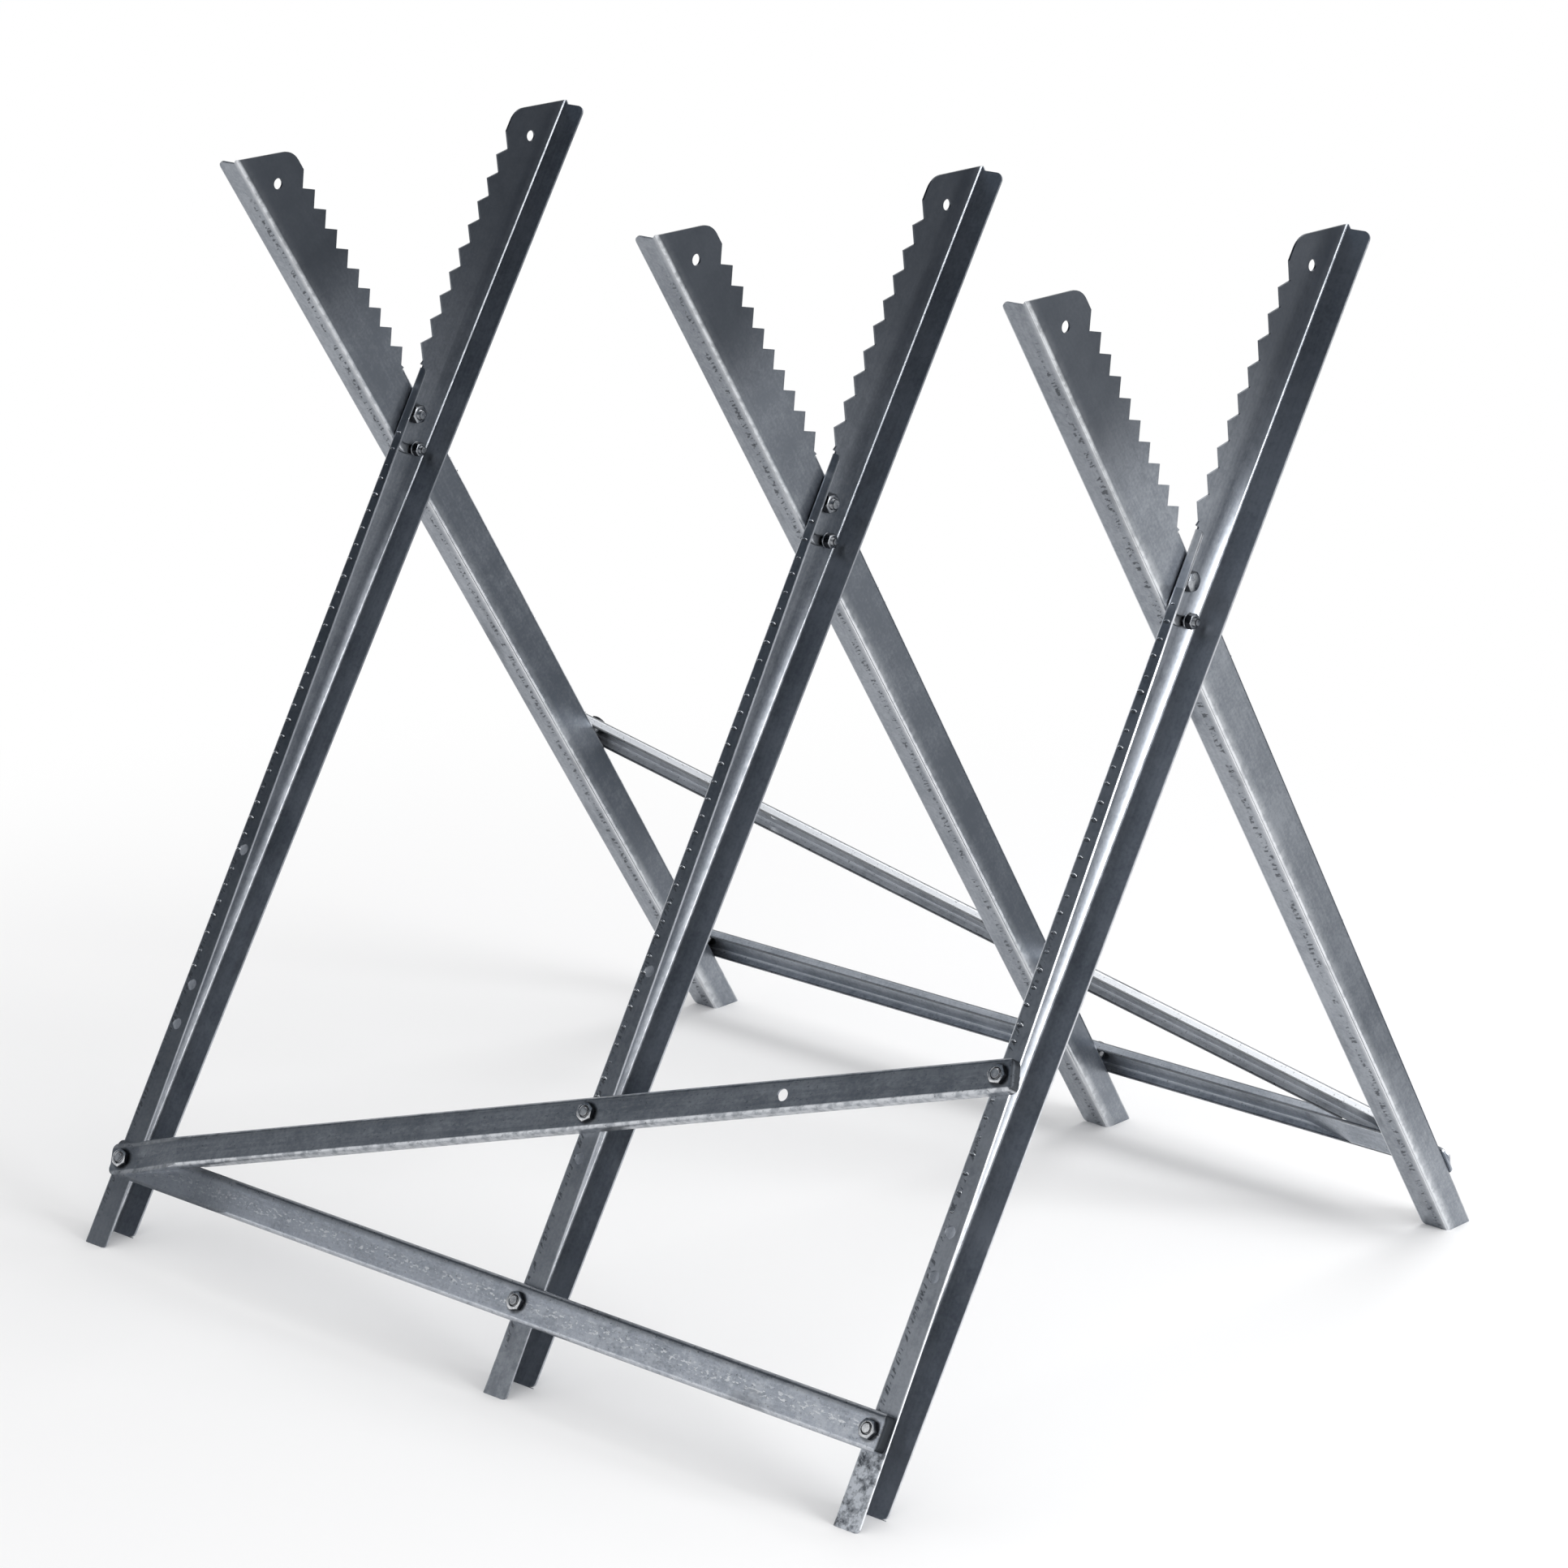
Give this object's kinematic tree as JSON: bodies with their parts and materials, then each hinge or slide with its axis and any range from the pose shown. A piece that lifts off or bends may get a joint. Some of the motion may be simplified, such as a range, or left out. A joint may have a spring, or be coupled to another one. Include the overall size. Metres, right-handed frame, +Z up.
{
  "type": "folding saw stand",
  "caption": "Folding saw stand of galvanised channel legs crossed in trestles, with notched heads, diagonal tie braces and slotted stops.",
  "frame": {"origin": "on the floor, at the centre of the stand's footprint, below the line of the pivots", "axes": "+X along the stand from the left trestle to the right one, +Y from front to back, +Z up"},
  "size_m": [0.8084, 0.7316, 0.7995],
  "materials": {
    "leg_steel": "galvanised sheet, dull blue-grey with bright folds and scuffs",
    "brace_steel": "galvanised sheet, dull blue-grey",
    "zinc_hardware": "bright zinc plated bolts, nuts and washers"
  },
  "bodies": {
    "rear_frame": {"rear_leg_left": "leg_steel", "rear_leg_middle": "leg_steel", "rear_leg_right": "leg_steel", "rear_diagonal_brace": "brace_steel", "rear_low_brace": "brace_steel", "rear_brace_bolts": "zinc_hardware", "rear_brace_nuts": "zinc_hardware", "pivot_bolt_left": "zinc_hardware", "pivot_bolt_middle": "zinc_hardware", "pivot_bolt_right": "zinc_hardware", "pivot_nut_left": "zinc_hardware", "pivot_nut_middle": "zinc_hardware", "pivot_nut_right": "zinc_hardware"},
    "front_frame": {"front_leg_left": "leg_steel", "front_leg_middle": "leg_steel", "front_leg_right": "leg_steel", "front_diagonal_brace": "brace_steel", "front_low_brace": "brace_steel", "front_brace_bolts": "zinc_hardware", "front_brace_nuts": "zinc_hardware"},
    "stop_set": {"stop_bolt_left": "zinc_hardware", "stop_bolt_middle": "zinc_hardware", "stop_bolt_right": "zinc_hardware", "stop_nut_left": "zinc_hardware", "stop_nut_middle": "zinc_hardware", "stop_nut_right": "zinc_hardware", "stop_washers": "zinc_hardware"}
  },
  "joints": [
    {"name": "fold", "type": "hinge", "parent": "rear_frame", "child": "front_frame", "pos_m": [0, 0, 0.578], "axis": [1, 0, 0], "range_deg": [0, 60]},
    {"name": "stop_travel", "type": "hinge", "parent": "rear_frame", "child": "stop_set", "pos_m": [0, 0, 0.578], "axis": [1, 0, 0], "range_deg": [0, 30]}
  ],
  "couplings": [
    {"joint": "stop_travel", "follows": "fold", "ratio": 0.5}
  ]
}
